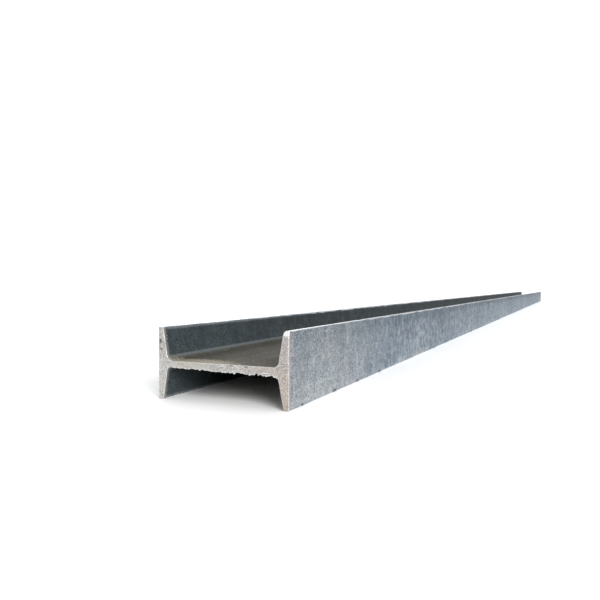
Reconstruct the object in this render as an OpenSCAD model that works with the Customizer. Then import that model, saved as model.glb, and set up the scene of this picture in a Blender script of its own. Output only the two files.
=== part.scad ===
// Hot-rolled steel I-beam with tapered flanges, one bar of stock.
// It lies flanges upright on its toes: +X runs along the bar, +Y across the
// web from flange to flange, +Z up, with z = 0 under the toes.

/* [Bar] */
// Length of the bar as sold
bar_length = 6000; // [1000:500:12000]

/* [Section] */
// Depth of the section, over both flanges
depth = 200; // [140:5:300]
// Width of each flange, from toe to toe
flange_w = 100; // [80:2:130]
// Thickness of the web
web_t = 7; // [5:0.5:12]
// Thickness of a flange, gauged midway between the web and the toe
flange_t = 11.4; // [10:0.2:16]
// Taper of the inner flange faces: 6 is a slope of 1 in 6
taper_run = 6; // [6:1:12]

/* [Rolled corners] */
// Fillet between the web and the inner face of a flange
root_r = 9; // [6:0.5:14]
// Rounding on the inner corner of each toe
toe_r = 4.5; // [2:0.5:5]
// Small rounding that the rolls leave on the outer corners
edge_r = 1.5; // [0.5:0.5:2]

/* [Hidden] */
$fn = 96;

// How far a cut reaches past the steel, and how far the arc of a rounded
// corner bites into the two edges beside it, so that it crosses them cleanly
past = 1;
bite = 0.002;

// The section is drawn about its own centre, x over its depth and y over the
// flange width. These are the corners of its +x +y quarter.
half_w = flange_w / 2;
outer_corner = [depth / 2, half_w];
toe_corner = on_inner_face(half_w);
root_corner = on_inner_face(web_t / 2);

// Directions along the edges that meet there
inwards = [-1, 0];
outwards = [1, 0];
to_web = [0, -1];
to_toe = unit(toe_corner - root_corner);

// Point of the tapered inner face at height y, with the flange at its gauged
// thickness halfway up from the web to the toe
function on_inner_face(y) =
    [depth / 2 - flange_t + (y - (half_w + web_t / 2) / 2) / taper_run, y];

function unit(v) = v / norm(v);

function mirrored(p) = [-p[0], p[1]];

// The sliver between a sharp corner p, its edges running off along a and b,
// and the arc of radius r that rounds it
module corner_sliver(p, a, b, r) {
    half_angle = acos(a * b) / 2;
    reach = r / tan(half_angle);
    centre = p + unit(a + b) * (r - bite) / sin(half_angle);
    difference() {
        polygon([p - unit(a + b) * past, p + a * reach, centre, p + b * reach]);
        translate(centre) circle(r);
    }
}

// The copy of a corner on the other side of the web's middle comes with it
module both_sides() {
    children();
    mirror([1, 0]) children();
}

// The space between the flanges on one face of the web
module trough() {
    difference() {
        polygon([
            root_corner, on_inner_face(half_w + past),
            mirrored(on_inner_face(half_w + past)), mirrored(root_corner)
        ]);
        both_sides() corner_sliver(root_corner, inwards, to_toe, root_r);
    }
}

module rolled_section() {
    difference() {
        square([depth, flange_w], center = true);
        for (turn = [0, 180]) rotate(turn) {
            trough();
            both_sides() corner_sliver(toe_corner, outwards, -to_toe, toe_r);
            both_sides() corner_sliver(outer_corner, inwards, to_web, edge_r);
        }
    }
}

module i_beam() {
    color([0.60, 0.63, 0.67])
        translate([-bar_length / 2, 0, half_w])
            rotate([90, 0, 90])
                linear_extrude(bar_length) rolled_section();
}

i_beam();
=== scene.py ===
import math

import bmesh
import bpy
import numpy as np
from mathutils import Matrix, Vector
from mathutils.geometry import delaunay_2d_cdt


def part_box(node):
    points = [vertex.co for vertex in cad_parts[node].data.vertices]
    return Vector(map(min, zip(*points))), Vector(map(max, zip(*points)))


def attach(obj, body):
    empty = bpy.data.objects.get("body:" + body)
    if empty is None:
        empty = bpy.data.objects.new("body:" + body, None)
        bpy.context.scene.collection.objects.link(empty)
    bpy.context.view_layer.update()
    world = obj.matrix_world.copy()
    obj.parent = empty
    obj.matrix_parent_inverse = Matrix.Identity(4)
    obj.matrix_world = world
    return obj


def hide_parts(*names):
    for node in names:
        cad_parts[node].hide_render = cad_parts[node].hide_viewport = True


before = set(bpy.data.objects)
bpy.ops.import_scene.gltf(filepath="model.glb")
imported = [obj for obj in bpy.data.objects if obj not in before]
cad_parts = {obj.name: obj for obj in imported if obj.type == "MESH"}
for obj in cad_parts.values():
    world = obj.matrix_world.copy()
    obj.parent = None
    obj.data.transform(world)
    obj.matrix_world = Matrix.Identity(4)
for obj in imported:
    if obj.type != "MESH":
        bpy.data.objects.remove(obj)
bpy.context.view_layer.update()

# ---------------------------------------------------------------------------
# The bar is one length of structural steel, drawn out hot between grooved
# rolls into a web with two tapered flanges, and cropped at both ends by a
# hot saw. It lies loose on the toes of its flanges, with nothing fixed to it.
# ---------------------------------------------------------------------------
MM = 0.001
low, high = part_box("i_beam")
bar_length = high.x - low.x
depth = high.y - low.y
flange_width = high.z - low.z
web_thickness = 7 * MM
flange_thickness = 11.4 * MM
flange_slope = 1 / 6
web_level = (low.z + high.z) / 2

half_length = bar_length / 2
half_depth = depth / 2
half_width = flange_width / 2
half_web = web_thickness / 2

# Hot steel won't fill sharp corners. From the outside in, these are the outer
# corner of a flange, its toe and the fillet at the web; then come the steps
# of each arc, and how far apart points stand on the straight before it.
corner_radii = [1.5 * MM, 4.5 * MM, 9 * MM]
corner_steps = [3, 6, 8]
straight_gaps = [5 * MM, 1.2 * MM, 3 * MM]
upper_web_gap = 4 * MM
under_web_gap = 1.6 * MM


def inner_face(z):
    """How far out the sloping inner face of a flange lies at height z over the web's middle."""
    gauge_height = (half_width + half_web) / 2
    return half_depth - flange_thickness + (z - gauge_height) * flange_slope


def straight_run(start, end, spacing):
    """Points after start up to end, about a spacing apart."""
    count = max(1, round((end - start).length / spacing))
    return [start.lerp(end, i / count) for i in range(1, count + 1)]


def rounded_corner(before, corner, after, radius, steps):
    """Points of the arc that rounds a corner between two straight edges."""
    back = (before - corner).normalized()
    onward = (after - corner).normalized()
    half_angle = math.acos(back.dot(onward)) / 2
    centre = corner + (back + onward).normalized() * radius / math.sin(half_angle)
    arm = corner + back * radius / math.tan(half_angle) - centre
    turn = math.pi - 2 * half_angle
    if back.cross(onward) > 0:
        turn = -turn
    return [centre + Matrix.Rotation(turn * i / steps, 2) @ arm for i in range(steps + 1)]


def quarter_outline(web_gap):
    """From the middle of an outer flange face round the toe to the middle of the web."""
    stops = [
        Vector((half_depth, 0)),
        Vector((half_depth, half_width)),
        Vector((inner_face(half_width), half_width)),
        Vector((inner_face(half_web), half_web)),
        Vector((0, half_web)),
    ]
    points = [stops[0]]
    for i in range(3):
        arc = rounded_corner(*stops[i:i + 3], corner_radii[i], corner_steps[i])
        points += straight_run(points[-1], arc[0], straight_gaps[i]) + arc[1:]
    return points + straight_run(points[-1], stops[4], web_gap)


def mirrored(points, y, z):
    """The points turned over, across or upside down, by the signs y and z."""
    return [Vector((p.x * y, p.y * z)) for p in points]


# The outline stands closer under the web, where the saw leaves its burr
upper = quarter_outline(upper_web_gap)
under = quarter_outline(under_web_gap)
rim = upper[:-1] + mirrored(upper, -1, 1)[:0:-1]
rim += mirrored(under, -1, -1)[:-1] + mirrored(under, 1, -1)[:0:-1]
rim_count = len(rim)
rim_normals = []
for i in range(rim_count):
    along = (rim[(i + 1) % rim_count] - rim[i - 1]).normalized()
    rim_normals.append(Vector((along.y, -along.x)))

# Points scattered inside the outline, so that the sawn face can hold relief
face_grid = 1.0 * MM
face_jitter = 0.3
clear_of_rim = 0.6 * MM
shuffle = np.random.default_rng(5)
rows = np.arange(-half_width, half_width, face_grid)
columns = np.arange(-half_depth, half_depth, face_grid)
spots = np.array([(y, z) for y in columns for z in rows])
spots += shuffle.uniform(-face_jitter, face_jitter, spots.shape) * face_grid
starts = np.array([tuple(p) for p in rim])
ends = np.roll(starts, -1, axis=0)
edges = ends - starts
to_spot = spots[:, None, :] - starts[None, :, :]
nearest = np.clip((to_spot * edges).sum(2) / (edges ** 2).sum(1), 0, 1)
gap = np.linalg.norm(to_spot - nearest[..., None] * edges, axis=2).min(1)
crosses = (starts[:, 1] > spots[:, 1:]) != (ends[:, 1] > spots[:, 1:])
with np.errstate(divide="ignore", invalid="ignore"):
    crossing = starts[:, 0] + (spots[:, 1:] - starts[:, 1]) * edges[:, 0] / edges[:, 1]
inside = (crosses & (spots[:, :1] < crossing)).sum(1) % 2 == 1
inner_points = [Vector(p) for p in spots[inside & (gap > clear_of_rim)]]

# The flat section: each point of its outline also knows which way is outward
inside_only = 1
same_point = 1e-8
outline = list(range(rim_count))
flat = delaunay_2d_cdt(rim + inner_points, [], [outline], inside_only, same_point)
section = bpy.data.meshes.new("rolled_section")
section.from_pydata([(0, p.x, p.y + web_level) for p in flat[0]], [], flat[2])
outward = section.attributes.new("outward", "FLOAT_VECTOR", "POINT")
for i, normal in enumerate(rim_normals):
    outward.data[i].vector = (0, normal.x, normal.y)
beam = bpy.data.objects.new("rolled_beam", section)
bpy.context.scene.collection.objects.link(beam)


# Steps for the nodes of the two steels, and of the bar itself
def feed(tree, socket, value):
    """Links a socket, or sets the value of an unlinked one."""
    if isinstance(value, bpy.types.NodeSocket):
        tree.links.new(value, socket)
    else:
        socket.default_value = value


def add(tree, kind, inputs=(), **settings):
    """A node with its settings, and its inputs filled by name or by place."""
    made = tree.nodes.new(kind)
    for name, value in settings.items():
        setattr(made, name, value)
    pairs = inputs.items() if isinstance(inputs, dict) else enumerate(inputs)
    for key, value in pairs:
        feed(tree, made.inputs[key], value)
    return made


def sums(tree, operation, *values):
    """One step of arithmetic."""
    return add(tree, "ShaderNodeMath", values, operation=operation).outputs[0]


def product(tree, first, *others):
    """Several values or masks multiplied together."""
    for other in others:
        first = sums(tree, "MULTIPLY", first, other)
    return first


def size_of(tree, value):
    """A number without its sign."""
    return sums(tree, "ABSOLUTE", value)


def vectors(tree, operation, *values):
    """One step of arithmetic on places and directions."""
    made = add(tree, "ShaderNodeVectorMath", values, operation=operation)
    return made.outputs["Value" if operation in ("DOT_PRODUCT", "LENGTH") else "Vector"]


def scaled(tree, vector, amount):
    """A vector made longer, shorter or opposite."""
    made = add(tree, "ShaderNodeVectorMath", (vector,), operation="SCALE")
    feed(tree, made.inputs["Scale"], amount)
    return made.outputs["Vector"]


def axes(tree, vector):
    """The parts of a vector along X, Y and Z."""
    return add(tree, "ShaderNodeSeparateXYZ", (vector,)).outputs


def stretch(tree, value, start, stop, to_start=0.0, to_stop=1.0):
    """Eases from one value to another as the input goes from start to stop."""
    made = add(tree, "ShaderNodeMapRange", (value, start, stop, to_start, to_stop),
               interpolation_type="SMOOTHSTEP")
    return made.outputs[0]


def noise(tree, position, scale, detail=2.0, roughness=0.5):
    """Noise from 0 to 1: its scale is lumps to the metre, one number or one for each axis."""
    if not isinstance(scale, (int, float)):
        position = vectors(tree, "MULTIPLY", position, scale)
        scale = 1.0
    made = add(tree, "ShaderNodeTexNoise",
               {"Vector": position, "Scale": scale, "Detail": detail, "Roughness": roughness})
    return made.outputs["Fac"]


def blend(tree, share, first, second, how="MIX"):
    """Lays a share of the second colour over the first."""
    made = tree.nodes.new("ShaderNodeMix")
    made.data_type = "RGBA"
    made.blend_type = how
    sockets = {s.identifier: s for s in made.inputs}
    feed(tree, sockets["Factor_Float"], share)
    for name, colour in (("A_Color", first), ("B_Color", second)):
        linked = isinstance(colour, bpy.types.NodeSocket)
        feed(tree, sockets[name], colour if linked else (*colour, 1))
    return next(s for s in made.outputs if s.type == "RGBA")


def tinted(tree, colour, tint):
    """A colour seen through a thin tint."""
    return blend(tree, 1.0, colour, tint, "MULTIPLY")


def new_group(name, inputs, outputs):
    """An empty shader node group, and its input and output nodes."""
    group = bpy.data.node_groups.new(name, "ShaderNodeTree")
    for label, kind in inputs:
        group.interface.new_socket(label, in_out="INPUT", socket_type=kind)
    for label, kind in outputs:
        group.interface.new_socket(label, in_out="OUTPUT", socket_type=kind)
    return group, group.nodes.new("NodeGroupInput"), group.nodes.new("NodeGroupOutput")


# Grain that scale and sawn steel share: fine mottling, flakes of one shade
# each, patches of every size, and pits
grain_group, grain_in, grain_out = new_group(
    "steel_grain",
    [("Position", "NodeSocketVector"), ("Grain", "NodeSocketFloat"), ("Patch", "NodeSocketFloat")],
    [("Mottle", "NodeSocketFloat"), ("Flakes", "NodeSocketFloat"),
     ("Patches", "NodeSocketFloat"), ("Pits", "NodeSocketFloat")],
)
pit_shift = (3.1, 1.7, 5.3)
tree = grain_group
position = grain_in.outputs["Position"]
per_grain = sums(tree, "DIVIDE", 1.0, grain_in.outputs["Grain"])
per_patch = sums(tree, "DIVIDE", 1.0, grain_in.outputs["Patch"])
wobble = add(tree, "ShaderNodeTexNoise", {"Vector": position, "Scale": per_grain}).outputs["Color"]
wobble = vectors(tree, "SUBTRACT", wobble, (0.5, 0.5, 0.5))
wobble = scaled(tree, wobble, grain_in.outputs["Grain"])
flakes = add(tree, "ShaderNodeTexVoronoi",
             {"Vector": vectors(tree, "ADD", position, wobble), "Scale": per_grain})
pit_noise = noise(tree, vectors(tree, "ADD", position, pit_shift), per_grain, 1.0)
feed(tree, grain_out.inputs["Mottle"], noise(tree, position, per_grain, 2.0, 0.6))
feed(tree, grain_out.inputs["Flakes"], axes(tree, flakes.outputs["Color"])["X"])
feed(tree, grain_out.inputs["Patches"], noise(tree, position, per_patch, 6.0, 0.72))
feed(tree, grain_out.inputs["Pits"], stretch(tree, pit_noise, 0.36, 0.26))


def grain(tree, position, grain_size, patch_size):
    """The shared grain, with the size of its grains and of its largest patches."""
    made = add(tree, "ShaderNodeGroup", node_tree=grain_group)
    for name, value in (("Position", position), ("Grain", grain_size), ("Patch", patch_size)):
        feed(tree, made.inputs[name], value)
    return made.outputs


def tone_of(tree, parts, middle=0.5):
    """Adds up variations about their middle: pairs of a value from 0 to 1 and its weight."""
    tone = middle - sum(weight for value, weight in parts) / 2
    for value, weight in parts:
        tone = sums(tree, "MULTIPLY_ADD", value, weight, tone)
    return tone


def ramp(tree, value, stops):
    """A colour for each tone, from pairs of a tone and its colour."""
    made = add(tree, "ShaderNodeValToRGB", (value,))
    band = made.color_ramp
    while len(band.elements) < len(stops):
        band.elements.new(0.5)
    for element, (place, colour) in zip(band.elements, stops):
        element.position = place
        element.color = (*colour, 1)
    return made.outputs["Color"]


def spot(tree, position, centre, half_size, ragged):
    """1 in the middle of an ellipsoid and 0 at its ragged rim."""
    raggedness = 1.6
    full_within = 0.55
    reach = vectors(tree, "DIVIDE", vectors(tree, "SUBTRACT", position, centre), half_size)
    reach = vectors(tree, "LENGTH", reach)
    reach = sums(tree, "SUBTRACT", reach, raggedness / 2)
    reach = sums(tree, "MULTIPLY_ADD", ragged, raggedness, reach)
    return stretch(tree, reach, 1.0, full_within)


def new_material(name):
    """A material, its node tree and shader, and the place of a point on the bar."""
    material = bpy.data.materials.new(name)
    material.use_nodes = True
    tree = material.node_tree
    shader = tree.nodes["Principled BSDF"]
    position = tree.nodes.new("ShaderNodeTexCoord").outputs["Object"]
    return material, tree, shader, position


# The rolled skin is dull blue-grey scale. It is mottled where it cooled
# unevenly, streaked where water ran down it, and faintly lined by the rolls.
rolled_skin, tree, skin_shader, position = new_material("rolled_skin")
place = axes(tree, position)
facing = axes(tree, tree.nodes.new("ShaderNodeNewGeometry").outputs["Normal"])
height = sums(tree, "SUBTRACT", place["Z"], web_level)
off_web = size_of(tree, height)
off_middle = size_of(tree, place["Y"])
from_edge = sums(tree, "SUBTRACT", half_width, off_web)
inset = sums(tree, "SUBTRACT", half_length, size_of(tree, place["X"]))

# Fine grain, coarse grain, and marks drawn out down the flange or along the
# bar. The three scales of a mark are for the X, Y and Z axes.
fine = grain(tree, position, 1.7 * MM, 40 * MM)
coarse = grain(tree, position, 14 * MM, 260 * MM)
run_marks = noise(tree, position, (75, 75, 14), 4.0, 0.68)
long_run_marks = noise(tree, position, (26, 26, 12), 4.0, 0.68)
roll_marks = noise(tree, position, (1.1, 70, 70), 3.0, 0.6)

# The outer faces are darker towards the upper edge, and paler and plainer at
# the ends of the bar, where slings and hands rub it
upward = stretch(tree, height, -half_width, half_width * 0.95)
near_top = stretch(tree, height, half_width * 0.5, half_width * 0.8)
near_bottom = stretch(tree, height, 13 * MM - half_width, 9 * MM - half_width)
handled = stretch(tree, inset, 500 * MM, 150 * MM)
near_top = product(tree, near_top, sums(tree, "MULTIPLY_ADD", handled, -0.6, 1.0))
tone = tone_of(tree, [
    (fine["Mottle"], 1.6), (fine["Flakes"], 0.44), (coarse["Flakes"], 0.1),
    (fine["Patches"], 0.3), (coarse["Patches"], 0.34), (long_run_marks, 0.35),
    (roll_marks, 0.25), (upward, -0.17), (near_top, -0.16), (near_bottom, 0.06), (handled, 0.10),
], 0.435)
weathered = tone_of(tree, [(coarse["Mottle"], 1.15), (run_marks, 0.75)], 0.0)
weathered = product(tree, weathered, stretch(tree, inset, 100 * MM, 600 * MM, 0.3, 1.0))
tone = sums(tree, "ADD", tone, weathered)
outer_colour = ramp(tree, tone, [
    (0.0, (0.071, 0.098, 0.123)), (0.3, (0.166, 0.213, 0.257)), (0.5, (0.246, 0.303, 0.355)),
    (0.7, (0.345, 0.412, 0.467)), (1.0, (0.592, 0.655, 0.708)),
])

# The scale's blue shifts a little: warmer where it is handled, and from patch
# to patch and from length to length
handled_tint = (1.088, 1.012, 0.957)
cooler, warmer = (0.97, 1.005, 1.02), (1.03, 0.995, 0.98)
rosier = (1.05, 0.97, 1.0)
outer_colour = blend(tree, handled, outer_colour, tinted(tree, outer_colour, handled_tint))
tint_patch = blend(tree, stretch(tree, fine["Patches"], 0.35, 0.65), cooler, warmer)
outer_colour = tinted(tree, outer_colour, tint_patch)
tint_drift = noise(tree, position, (2.5, 9, 9), 3.0)
outer_colour = blend(tree, stretch(tree, tint_drift, 0.45, 0.62, 0.0, 0.5),
                     outer_colour, tinted(tree, outer_colour, rosier))

# Scuffs and chalky spots on the front face, in millimetres: distance from the
# end, height, half length, half height; and how much paler
scuffs = [
    (75, 54, 2.2, 11, 0.8), (61, 46, 1.2, 7, 0.35), (92, 30, 1.4, 9, 0.3),
    (118, 71, 1.5, 10, 0.3), (205, 38, 2.5, 12, 0.3), (498, 62, 9, 7, 0.55),
    (700, 30, 6, 14, 0.3), (1120, 52, 8, 16, 0.3), (1936, 83, 22, 9, 0.6),
    (2700, 40, 14, 12, 0.35), (640, 7, 190, 8, 0.22), (590, 33, 10, 20, 0.25),
]
chalk = (0.52, 0.56, 0.54)
scuff_reach = 4 * MM
torn_edge = noise(tree, position, 260.0, 3.0, 0.65)
for along, up, half_along, half_up, paler in scuffs:
    mark = spot(tree, position, (low.x + along * MM, -half_depth, up * MM),
                (half_along * MM, scuff_reach, half_up * MM), torn_edge)
    outer_colour = blend(tree, product(tree, mark, paler), outer_colour, chalk)

# Between the flanges the scale is painted darker as painted shade, and dust lies on the web,
# darkened with the same painted shade
in_trough = product(tree, stretch(tree, off_middle, half_depth - 2 * MM, half_depth - 7 * MM),
                    stretch(tree, from_edge, 0.5 * MM, 6 * MM))
trough_painted_shade = ramp(tree, tone, [
    (0.15, (0.030, 0.041, 0.046)), (0.5, (0.060, 0.078, 0.086)), (0.9, (0.120, 0.146, 0.155)),
])
colour = blend(tree, in_trough, outer_colour, trough_painted_shade)
levelness = size_of(tree, facing["Z"])
level_face = stretch(tree, levelness, 0.35, 0.95)
near_web = stretch(tree, off_web, 22 * MM, 5 * MM)
dust_cover = stretch(tree, noise(tree, position, (7, 30, 30), 5.0, 0.6), 0.3, 0.6, 0.7, 1.0)
dust = product(tree, level_face, near_web, in_trough, dust_cover)
dust_in_painted_shade = ramp(tree, tone, [
    (0.2, (0.056, 0.050, 0.038)), (0.5, (0.094, 0.085, 0.065)), (0.9, (0.165, 0.152, 0.122)),
])
colour = blend(tree, dust, colour, dust_in_painted_shade)

# A painted highlight lies paler along the fillets beside the web, most of all near the ends, and
# swarf from the saw has stuck to the web just behind the cut
fillet = product(tree, stretch(tree, levelness, 0.19, 0.32),
                 stretch(tree, size_of(tree, facing["Y"]), 0.6, 0.95),
                 in_trough, stretch(tree, inset, 900 * MM, 20 * MM, 0.35, 0.85))
fillet_highlight_colour = blend(tree, fine["Mottle"], (0.10, 0.12, 0.125), (0.27, 0.30, 0.30))
colour = blend(tree, fillet, colour, fillet_highlight_colour)
swarf_colour = (0.45, 0.41, 0.325)
swarf_place = (low.x, half_depth * 0.4, web_level + half_web)
swarf_half_size = (42 * MM, 75 * MM, 6 * MM)
swarf = spot(tree, position, swarf_place, swarf_half_size, torn_edge)
colour = blend(tree, product(tree, swarf, 0.8), colour, swarf_colour)

# The last millimetres before the cut were scraped by the saw, and toes and
# outer corners are worn bare in handling and painted bright as a painted highlight along the edges
scraped_steel = (0.46, 0.425, 0.40)
worn_steel_highlight = (0.75, 0.785, 0.82)
pit_dark = (0.07, 0.08, 0.09)
scraped = stretch(tree, sums(tree, "MULTIPLY_ADD", fine["Mottle"], -13 * MM, inset),
                  0.5 * MM, -3 * MM)
colour = blend(tree, product(tree, scraped, 0.55), colour, scraped_steel)
rub_noise = noise(tree, position, (22, 300, 300), 3.0)
rub_depth = product(tree, stretch(tree, rub_noise, 0.3, 0.7, 0.7 * MM, 2.5 * MM),
                    stretch(tree, inset, 100 * MM, 600 * MM, 0.7, 1.4))
rub_and_highlight = stretch(tree, sums(tree, "SUBTRACT", from_edge, rub_depth), 0.4 * MM, -0.5 * MM)
cut_line = stretch(tree, sums(tree, "MULTIPLY_ADD", rub_noise, -2 * MM, inset),
                   0.4 * MM, -0.3 * MM)
rub_and_highlight = sums(tree, "MAXIMUM", rub_and_highlight, product(tree, cut_line, 0.8))
colour = blend(tree, product(tree, rub_and_highlight, 0.9), colour, worn_steel_highlight)
colour = blend(tree, product(tree, fine["Pits"], 0.4), colour, pit_dark)

# Small dents along the lower front corner, painted dark as painted shade in
# them, in millimetres: distance from the end, and half length
dents = [(39, 4), (152, 7), (252, 8), (370, 9), (830, 14), (1410, 18)]
dent_painted_shade = (0.045, 0.05, 0.06)
dent_level = 1 * MM
dent_reach = 6 * MM
dent_height = 4.5 * MM
dented = 0.0
for along, half_along in dents:
    dent = spot(tree, position, (low.x + along * MM, -half_depth, dent_level),
                (half_along * MM, dent_reach, dent_height), torn_edge)
    dented = sums(tree, "MAXIMUM", dented, dent)
colour = blend(tree, product(tree, dented, 0.85), colour, dent_painted_shade)

feed(tree, skin_shader.inputs["Base Color"], colour)
feed(tree, skin_shader.inputs["Metallic"], sums(tree, "MULTIPLY_ADD", rub_and_highlight, 0.1, 0.35))
skin_shader.inputs["Specular IOR Level"].default_value = 0.35
rough = tone_of(tree, [
    (fine["Mottle"], 0.3), (coarse["Flakes"], 0.1), (dust, 0.3), (rub_and_highlight, -0.3),
], 0.54)
feed(tree, skin_shader.inputs["Roughness"], rough)
relief = tone_of(tree, [
    (fine["Mottle"], 1.0), (fine["Flakes"], 0.15), (fine["Pits"], -0.7),
    (roll_marks, 0.5), (dented, -3.0),
])
bump_strength = 0.6
bump_depth = 0.15 * MM
bump = add(tree, "ShaderNodeBump",
           {"Height": relief, "Strength": bump_strength, "Distance": bump_depth})
feed(tree, skin_shader.inputs["Normal"], bump.outputs["Normal"])

# The saw leaves bare steel, pale and warm grey. A first film of rust has
# bloomed pink on the front half, yellower towards the bottom.
sawn_steel, tree, sawn_shader, position = new_material("sawn_steel")
place = axes(tree, position)
cut = grain(tree, position, 1.6 * MM, 16 * MM)
sawn_tone = tone_of(tree, [(cut["Mottle"], 1.45), (cut["Flakes"], 0.28), (cut["Patches"], 0.8)])
clean_cut = ramp(tree, sawn_tone, [
    (0.1, (0.22, 0.215, 0.20)), (0.5, (0.545, 0.540, 0.522)), (0.9, (0.88, 0.87, 0.85)),
])
bloom = ramp(tree, sawn_tone, [
    (0.1, (0.26, 0.205, 0.18)), (0.5, (0.555, 0.482, 0.450)), (0.9, (0.82, 0.76, 0.73)),
])
low_bloom, high_bloom = (1.0, 0.985, 0.90), (0.915, 0.985, 1.03)
risen = stretch(tree, place["Z"], low.z, high.z)
bloom = tinted(tree, bloom, blend(tree, risen, low_bloom, high_bloom))
bloom_share = product(tree, stretch(tree, place["Y"], 0.0, -half_depth),
                      stretch(tree, cut["Patches"], 0.35, 0.6, 0.7, 1.0))
colour = blend(tree, bloom_share, clean_cut, bloom)

# Stains and flecks on the face of the cut, in millimetres: across, height,
# half width, half height; then the share and the colour
stains = [
    (61, 50.5, 4, 3.2, 0.5, (0.42, 0.39, 0.25)),
    (60.5, 50.5, 1.0, 0.8, 0.9, (0.12, 0.10, 0.06)),
    (96.6, 80.5, 2.6, 4.2, 0.85, (0.10, 0.10, 0.09)),
    (95.8, 69.5, 2.0, 3.0, 0.8, (0.12, 0.11, 0.10)),
    (-17, 52.4, 4.5, 1.1, 0.8, (0.12, 0.11, 0.10)),
    (-39, 52.2, 3.0, 1.0, 0.9, (0.09, 0.08, 0.07)),
    (-32, 53.0, 3.0, 0.9, 0.6, (0.16, 0.13, 0.12)),
    (-34, 49.8, 1.6, 1.2, 0.6, (0.18, 0.17, 0.16)),
    (-67, 43.9, 6.0, 0.8, 0.8, (0.16, 0.14, 0.12)),
    (-66, 45.7, 7.0, 0.9, 0.9, (0.92, 0.91, 0.90)),
    (48, 50, 40, 6, 0.55, (0.54, 0.52, 0.435)),
    (-94, 10, 6, 14, 0.4, (0.50, 0.47, 0.38)),
    (-60, 50, 16, 3, 0.3, (0.60, 0.47, 0.44)),
]
stain_reach = 9 * MM
stain_edge = noise(tree, position, 500.0, 3.0, 0.65)
for over, up, half_over, half_up, cover, stain in stains:
    mark = spot(tree, position, (low.x, over * MM, up * MM),
                (stain_reach, half_over * MM, half_up * MM), stain_edge)
    colour = blend(tree, product(tree, mark, cover), colour, stain)
cut_pit = (0.15, 0.14, 0.125)
colour = blend(tree, product(tree, cut["Pits"], 0.45), colour, cut_pit)

# Burr, blunted rim and knocked toe are bare steel, painted brighter as a painted highlight
bright_steel_highlight = (0.96, 0.96, 0.95)
bare_and_highlit = add(tree, "ShaderNodeAttribute", attribute_name="bare_and_highlit").outputs["Fac"]
bright = stretch(tree, sums(tree, "MULTIPLY_ADD", cut["Mottle"], 0.9, bare_and_highlit), 0.85, 1.6)
colour = blend(tree, bright, colour, bright_steel_highlight)
feed(tree, sawn_shader.inputs["Base Color"], colour)
sawn_shader.inputs["Metallic"].default_value = 0.3
rough = tone_of(tree, [(cut["Mottle"], 0.3), (cut["Flakes"], 0.1), (bright, -0.12)], 0.42)
feed(tree, sawn_shader.inputs["Roughness"], rough)

# The blade's axle is parallel to the bar, so its teeth draw arcs on the cut
blade_centre = (0, 0.35, -0.95)
fine_tooth_pitch = 1.1 * MM


def from_axle(tree, position):
    """How far from the blade's axle a point of the cut lies."""
    on_cut = vectors(tree, "MULTIPLY", position, (0, 1, 1))
    return vectors(tree, "LENGTH", vectors(tree, "SUBTRACT", on_cut, blade_centre))


def tooth_arcs(tree, distance, pitch):
    """Waves from -1 to 1 with a tooth's pitch between their crests."""
    return sums(tree, "SINE", product(tree, distance, 2 * math.pi / pitch))


fine_arcs = tooth_arcs(tree, from_axle(tree, position), fine_tooth_pitch)
relief = tone_of(tree, [(cut["Mottle"], 1.0), (cut["Flakes"], 0.3), (fine_arcs, 0.25)])
bump = add(tree, "ShaderNodeBump",
           {"Height": relief, "Strength": bump_strength, "Distance": bump_depth})
feed(tree, sawn_shader.inputs["Normal"], bump.outputs["Normal"])

# Rolling and sawing: the section is drawn out into rings of points, which
# stand closest at the ends, where the saw and the slings have marked the bar
rolling = bpy.data.node_groups.new("roll_and_saw", "GeometryNodeTree")
bar_sizes = [
    ("Length", "NodeSocketFloat", bar_length),
    ("Rings each half", "NodeSocketInt", 120),
    ("Crowding at the ends", "NodeSocketFloat", 5.55),
    ("Web level", "NodeSocketFloat", web_level),
    ("Half width", "NodeSocketFloat", half_width),
    ("Ripple", "NodeSocketFloat", 0.12 * MM),
    ("Nick depth", "NodeSocketFloat", 0.7 * MM),
    ("Chamfer", "NodeSocketFloat", 0.35 * MM),
    ("Burr height", "NodeSocketFloat", 6.6 * MM),
    ("Burr root", "NodeSocketFloat", 1.8 * MM),
    ("Tooth mark depth", "NodeSocketFloat", 0.22 * MM),
    ("Knock depth", "NodeSocketFloat", 2.6 * MM),
    ("Seed", "NodeSocketFloat", 4.0),
    ("Rolled skin", "NodeSocketMaterial", rolled_skin),
    ("Sawn steel", "NodeSocketMaterial", sawn_steel),
]
rolling.interface.new_socket("Geometry", in_out="INPUT", socket_type="NodeSocketGeometry")
rolling.interface.new_socket("Geometry", in_out="OUTPUT", socket_type="NodeSocketGeometry")
for label, kind, value in bar_sizes:
    rolling.interface.new_socket(label, in_out="INPUT", socket_type=kind)
tree = rolling
given = tree.nodes.new("NodeGroupInput").outputs
made_bar = tree.nodes.new("NodeGroupOutput").inputs["Geometry"]


def worked(kind, inputs, **settings):
    """What a node of the bar's own tree puts out first."""
    return add(rolling, kind, inputs, **settings).outputs[0]


def compared(data_type, operation, first, second):
    """Where one number compares with another as asked."""
    made = add(rolling, "FunctionNodeCompare", data_type=data_type, operation=operation)
    socket = 2 if data_type == "INT" else 0
    feed(rolling, made.inputs[socket], first)
    feed(rolling, made.inputs[socket + 1], second)
    return made.outputs[0]


def closeness(distance, reach):
    """1 at no distance, falling evenly to 0 at the reach."""
    far = sums(rolling, "SUBTRACT", 1.0, sums(rolling, "DIVIDE", distance, reach))
    return sums(rolling, "MAXIMUM", far, 0.0)


def moved(bar, offset):
    """The bar with each of its points shifted."""
    return worked("GeometryNodeSetPosition", {"Geometry": bar, "Offset": offset})


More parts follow.
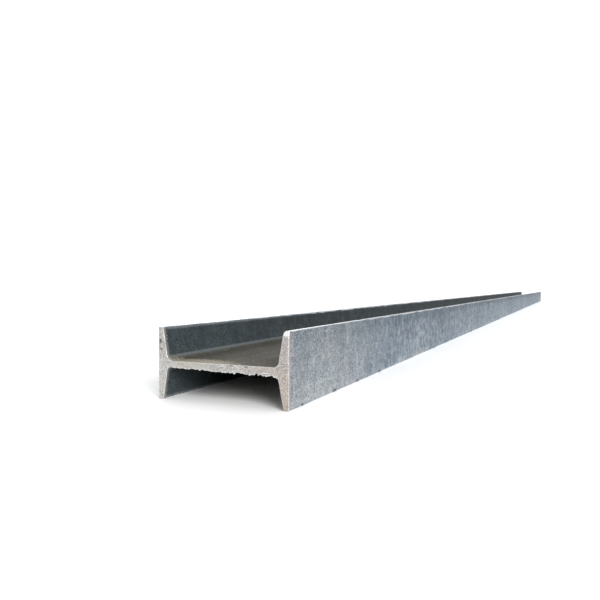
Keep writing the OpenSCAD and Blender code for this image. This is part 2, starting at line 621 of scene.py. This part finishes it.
# The rim of the section, and how many points it has
edge_faces = tree.nodes.new("GeometryNodeInputMeshEdgeNeighbors").outputs[0]
single = compared("INT", "EQUAL", edge_faces, 1)
rim_curve = worked("GeometryNodeMeshToCurve", (given["Geometry"], single))
rim_size = add(tree, "GeometryNodeAttributeDomainSize", (rim_curve,),
               component="CURVE").outputs["Point Count"]
per_ring = sums(tree, "ADD", rim_size, 1.0)
ring_total = sums(tree, "MULTIPLY_ADD", given["Rings each half"], 2.0, 1.0)
tube = worked("GeometryNodeMeshGrid", {"Vertices X": ring_total, "Vertices Y": per_ring})

# Each vertex of the tube belongs to one ring and one point of the rim
index = tree.nodes.new("GeometryNodeInputIndex").outputs[0]
ring = sums(tree, "FLOOR", sums(tree, "DIVIDE", sums(tree, "ADD", index, 0.5), per_ring))
rim_point = sums(tree, "SUBTRACT", index, product(tree, ring, per_ring))
rim_point = sums(tree, "MODULO", rim_point, rim_size)

# The distance from a ring to the cut grows exponentially, so the rings crowd
# where the cut needs them
from_middle = sums(tree, "SUBTRACT", ring, given["Rings each half"])
from_cut = sums(tree, "SUBTRACT", given["Rings each half"], size_of(tree, from_middle))
power = product(tree, from_cut, given["Crowding at the ends"])
power = sums(tree, "DIVIDE", power, given["Rings each half"])
whole_power = sums(tree, "EXPONENT", given["Crowding at the ends"])
whole_power = sums(tree, "SUBTRACT", whole_power, 1.0)
share = sums(tree, "SUBTRACT", sums(tree, "EXPONENT", power), 1.0)
share = sums(tree, "DIVIDE", share, whole_power)
cut_x = product(tree, given["Length"], 0.5)
ring_x = product(tree, cut_x, sums(tree, "SUBTRACT", 1.0, share))
ring_x = product(tree, sums(tree, "SIGN", from_middle), ring_x)


def from_rim(value):
    """What the rim has at the point that a vertex of the tube belongs to."""
    return worked("GeometryNodeSampleIndex",
                  {"Geometry": rim_curve, "Value": value, "Index": rim_point},
                  data_type="FLOAT_VECTOR", domain="POINT")


section_outward = worked("GeometryNodeInputNamedAttribute", ("outward",),
                         data_type="FLOAT_VECTOR")
here = tree.nodes.new("GeometryNodeInputPosition").outputs[0]
rim_place = axes(tree, from_rim(here))
tube_place = worked("ShaderNodeCombineXYZ", (ring_x, rim_place["Y"], rim_place["Z"]))
tube = worked("GeometryNodeStoreNamedAttribute",
              {"Geometry": tube, "Name": "outward", "Value": from_rim(section_outward)},
              data_type="FLOAT_VECTOR", domain="POINT")
tube = worked("GeometryNodeSetPosition", {"Geometry": tube, "Position": tube_place})
tube = worked("GeometryNodeFlipFaces", (tube,))

# The two sawn faces close the tube
seam_weld = 0.01 * MM
right_shift = worked("ShaderNodeCombineXYZ", (cut_x, 0.0, 0.0))
left_shift = vectors(tree, "MULTIPLY", right_shift, (-1, 1, 1))
right_face = worked("GeometryNodeTransform", (given["Geometry"], right_shift))
left_face = worked("GeometryNodeTransform", (given["Geometry"], left_shift))
left_face = worked("GeometryNodeFlipFaces", (left_face,))
joined = tree.nodes.new("GeometryNodeJoinGeometry")
for part in (left_face, right_face, tube):
    tree.links.new(part, joined.inputs[0])
bar = worked("GeometryNodeMergeByDistance",
             {"Geometry": joined.outputs[0], "Distance": seam_weld})

# Where each point lies before anything wears it: how far in from its cut end
at = axes(tree, here)
inset = sums(tree, "SUBTRACT", cut_x, size_of(tree, at["X"]))
capture = tree.nodes.new("GeometryNodeCaptureAttribute")
capture.domain = "FACE"
feed(tree, capture.inputs["Geometry"], bar)
capture.capture_items.new("FLOAT", "Inset")
feed(tree, capture.inputs["Inset"], inset)
bar, face_inset = capture.outputs["Geometry"], capture.outputs["Inset"]
seed_shift = scaled(tree, (1.7, 2.3, 3.1), given["Seed"])
grain_place = vectors(tree, "ADD", here, seed_shift)
level = sums(tree, "SUBTRACT", at["Z"], given["Web level"])
off_edge = sums(tree, "SUBTRACT", given["Half width"], size_of(tree, level))
inward = scaled(tree, section_outward, -1.0)

# Rolls leave a slight ripple, always inside the nominal size
ripple = product(tree, noise(tree, grain_place, (5, 30, 30), 3.0), given["Ripple"])
bar = moved(bar, scaled(tree, inward, ripple))

# Nicks along the toes, from slings and forks
nick_zone = stretch(tree, off_edge, 3.5 * MM, 0.5 * MM)
nick_noise = stretch(tree, noise(tree, grain_place, (75, 160, 160), 1.0), 0.60, 0.72)
nicks = product(tree, nick_zone, nick_noise, given["Nick depth"])
bar = moved(bar, scaled(tree, inward, nicks))

# The blade leaves the steel downwards and to the left, and drags a ragged
# burr with it, heavier towards the front; every other edge is only blunted
saw_exit = Vector((0, 0.42, -0.91)).normalized()
least_burr = 0.12
burr_taper = 1.4
blunt_reach = 0.5 * MM
lean = vectors(tree, "DOT_PRODUCT", section_outward, saw_exit)
lean = sums(tree, "MAXIMUM", lean, 0.0)
within_toes = stretch(tree, off_edge, 2 * MM, 9 * MM)
within_depth = stretch(tree, size_of(tree, at["Y"]),
                       half_depth - 8 * MM, half_depth - 22 * MM, 0.1, 1.0)
heavier = stretch(tree, at["Y"], half_depth * 0.9, -half_depth * 0.8, 0.52, 1.1)
ragged = tone_of(tree, [
    (noise(tree, grain_place, 240.0, 3.0, 0.7), 1.9), (noise(tree, grain_place, 60.0, 1.0), 0.9),
], 0.72)
ragged = product(tree, sums(tree, "MAXIMUM", ragged, least_burr), given["Burr height"])
burr = product(tree, product(tree, lean, within_toes), product(tree, within_depth, heavier))
burr = product(tree, burr, ragged)
at_cut = sums(tree, "POWER", closeness(inset, given["Burr root"]), burr_taper)
blunted = product(tree, closeness(inset, blunt_reach), given["Chamfer"],
                  stretch(tree, burr, 0.6 * MM, 0.1 * MM))

# The upper toe nearest the sling is knocked back at the end of the bar
knock_reach = 9 * MM
knock_taper = 2.0
knock = product(tree, stretch(tree, off_edge, 8.5 * MM, 0.0),
                stretch(tree, level, 0.0, 20 * MM),
                stretch(tree, at["Y"], -half_depth * 0.8, -half_depth * 0.9),
                stretch(tree, at["X"], 0.0, -1.0), given["Knock depth"])
knock = product(tree, knock, sums(tree, "POWER", closeness(inset, knock_reach), knock_taper))

# How bare each point of the cut is, with a painted highlight on its rim, burr and knocked toe, for
# the sawn steel to read
rim_highlight = 0.85
bare_burr = 5.5 * MM
bare_knock = 0.55 * MM
bare_and_highlit = product(tree, vectors(tree, "LENGTH", section_outward), rim_highlight)
bare_and_highlit = sums(tree, "MAXIMUM", bare_and_highlit, sums(tree, "DIVIDE", burr, bare_burr))
bare_and_highlit = sums(tree, "MAXIMUM", bare_and_highlit, sums(tree, "DIVIDE", knock, bare_knock))
bar = worked("GeometryNodeStoreNamedAttribute", {"Geometry": bar, "Name": "bare_and_highlit", "Value": bare_and_highlit},
             data_type="FLOAT", domain="POINT")
drag = scaled(tree, saw_exit, product(tree, burr, at_cut))
bar = moved(bar, vectors(tree, "ADD", drag, scaled(tree, inward, blunted)))

# Arcs of the blade's teeth on the sawn faces, which wander as the blade
# chatters; the knocked toe is set back with them
tooth_pitch = 4.7 * MM
tooth_wander = 3 * MM
wander = product(tree, noise(tree, grain_place, 40.0, 2.0), tooth_wander)
arcs = tooth_arcs(tree, sums(tree, "ADD", from_axle(tree, here), wander), tooth_pitch)
chatter = product(tree, noise(tree, grain_place, 420.0, 2.0), 0.5)
tooth_depth = sums(tree, "ADD", sums(tree, "MULTIPLY_ADD", arcs, 0.3, 0.3), chatter)
on_face = stretch(tree, inset, 0.2 * MM, 0.0)
tooth_depth = product(tree, tooth_depth, on_face, given["Tooth mark depth"])
set_back = product(tree, sums(tree, "ADD", tooth_depth, knock), sums(tree, "SIGN", at["X"]))
bar = moved(bar, scaled(tree, (-1.0, 0.0, 0.0), set_back))
bar = worked("GeometryNodeRemoveAttribute", {"Geometry": bar, "Name": "outward"})

# Smooth round the corners, sharp at the saw cut
sharp_angle = math.radians(38)
bar = worked("GeometryNodeSetShadeSmooth", {"Geometry": bar, "Shade Smooth": True}, domain="FACE")
edge_angle = tree.nodes.new("GeometryNodeInputMeshEdgeAngle").outputs["Unsigned Angle"]
steep = compared("FLOAT", "GREATER_THAN", edge_angle, sharp_angle)
bar = worked("GeometryNodeSetShadeSmooth",
             {"Geometry": bar, "Selection": steep, "Shade Smooth": False}, domain="EDGE")

# Scale everywhere, and bare steel on the faces that the saw cut
cut_depth = 0.3 * MM
bar = worked("GeometryNodeRealizeInstances", (bar,))
bar = worked("GeometryNodeSetMaterial", {"Geometry": bar, "Material": given["Rolled skin"]})
sawn = compared("FLOAT", "LESS_THAN", face_inset, cut_depth)
bar = worked("GeometryNodeSetMaterial",
             {"Geometry": bar, "Selection": sawn, "Material": given["Sawn steel"]})
feed(tree, made_bar, bar)

roll = beam.modifiers.new("roll_and_saw", "NODES")
roll.node_group = rolling
sockets = {s.name: s.identifier for s in rolling.interface.items_tree if s.in_out == "INPUT"}
for label, kind, value in bar_sizes:
    roll[sockets[label]] = value
graph = bpy.context.evaluated_depsgraph_get()
beam_mesh = bpy.data.meshes.new_from_object(beam.evaluated_get(graph), depsgraph=graph)
beam.modifiers.remove(roll)
beam.data = beam_mesh
if beam_mesh.materials[0] is None:
    beam_mesh.materials.pop(index=0)
bpy.data.meshes.remove(section)
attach(beam, "root")
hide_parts("i_beam")


# ---------------------------------------------------------------------------
# The studio is a pale painted floor that runs out into a white backdrop. An
# even sky lights it, with one broad soft light over the camera's shoulder and
# a weaker one from the far side.
# ---------------------------------------------------------------------------
floor_size = 60.0
floor_mesh = bpy.data.meshes.new("floor")
shape = bmesh.new()
bmesh.ops.create_grid(shape, x_segments=1, y_segments=1, size=floor_size / 2)
shape.to_mesh(floor_mesh)
shape.free()
floor = bpy.data.objects.new("floor", floor_mesh)
bpy.context.scene.collection.objects.link(floor)

# To the camera the floor and the sky are lifted to white; the bar gets less
floor_shade, floor_lift = 0.86, 0.42
sky_light, sky_lift = 0.55, 0.55
paint = bpy.data.materials.new("pale_floor")
paint.use_nodes = True
tree = paint.node_tree
tree.nodes.remove(tree.nodes["Principled BSDF"])
seen = tree.nodes.new("ShaderNodeLightPath").outputs["Is Camera Ray"]
white = sums(tree, "MULTIPLY_ADD", seen, floor_lift, floor_shade)
white = add(tree, "ShaderNodeCombineXYZ", (white, white, white)).outputs[0]
matt = add(tree, "ShaderNodeBsdfDiffuse", {"Color": white}).outputs[0]
feed(tree, tree.nodes["Material Output"].inputs["Surface"], matt)
floor_mesh.materials.append(paint)

world = bpy.data.worlds.new("white_backdrop")
world.use_nodes = True
tree = world.node_tree
sky = tree.nodes["Background"].inputs
sky["Color"].default_value = (1, 1, 1, 1)
seen = tree.nodes.new("ShaderNodeLightPath").outputs["Is Camera Ray"]
feed(tree, sky["Strength"], sums(tree, "MULTIPLY_ADD", seen, sky_lift, sky_light))
bpy.context.scene.world = world

# Name, strength, width in degrees, and the way that each light shines
lights = [
    ("key", 2.25, 28, (0.61, 0.68, -0.41)),
    ("fill", 0.9, 50, (-0.7, -0.6, -0.35)),
]
for name, strength, width, shines in lights:
    lamp = bpy.data.lights.new(name, "SUN")
    lamp.energy = strength
    lamp.angle = math.radians(width)
    lamp_stand = bpy.data.objects.new(name, lamp)
    lamp_stand.rotation_euler = Vector(shines).to_track_quat("-Z", "Y").to_euler()
    bpy.context.scene.collection.objects.link(lamp_stand)

# The camera stands just beyond the left end, low and on the front side
camera_beyond = 0.643
camera_in_front = 0.3175
camera_height = 0.155
camera_turn = math.radians(25.18)
camera_dip = math.radians(1.33)
lens = bpy.data.cameras.new("camera")
lens.sensor_width = 36
lens.lens = 35
camera = bpy.data.objects.new("camera", lens)
camera.location = (low.x - camera_beyond, low.y - camera_in_front, camera_height)
aim = Vector((math.cos(camera_turn) * math.cos(camera_dip),
              math.sin(camera_turn) * math.cos(camera_dip),
              -math.sin(camera_dip)))
camera.rotation_euler = aim.to_track_quat("-Z", "Y").to_euler()
bpy.context.scene.collection.objects.link(camera)
bpy.context.scene.camera = camera
bpy.context.scene.view_settings.view_transform = "Standard"
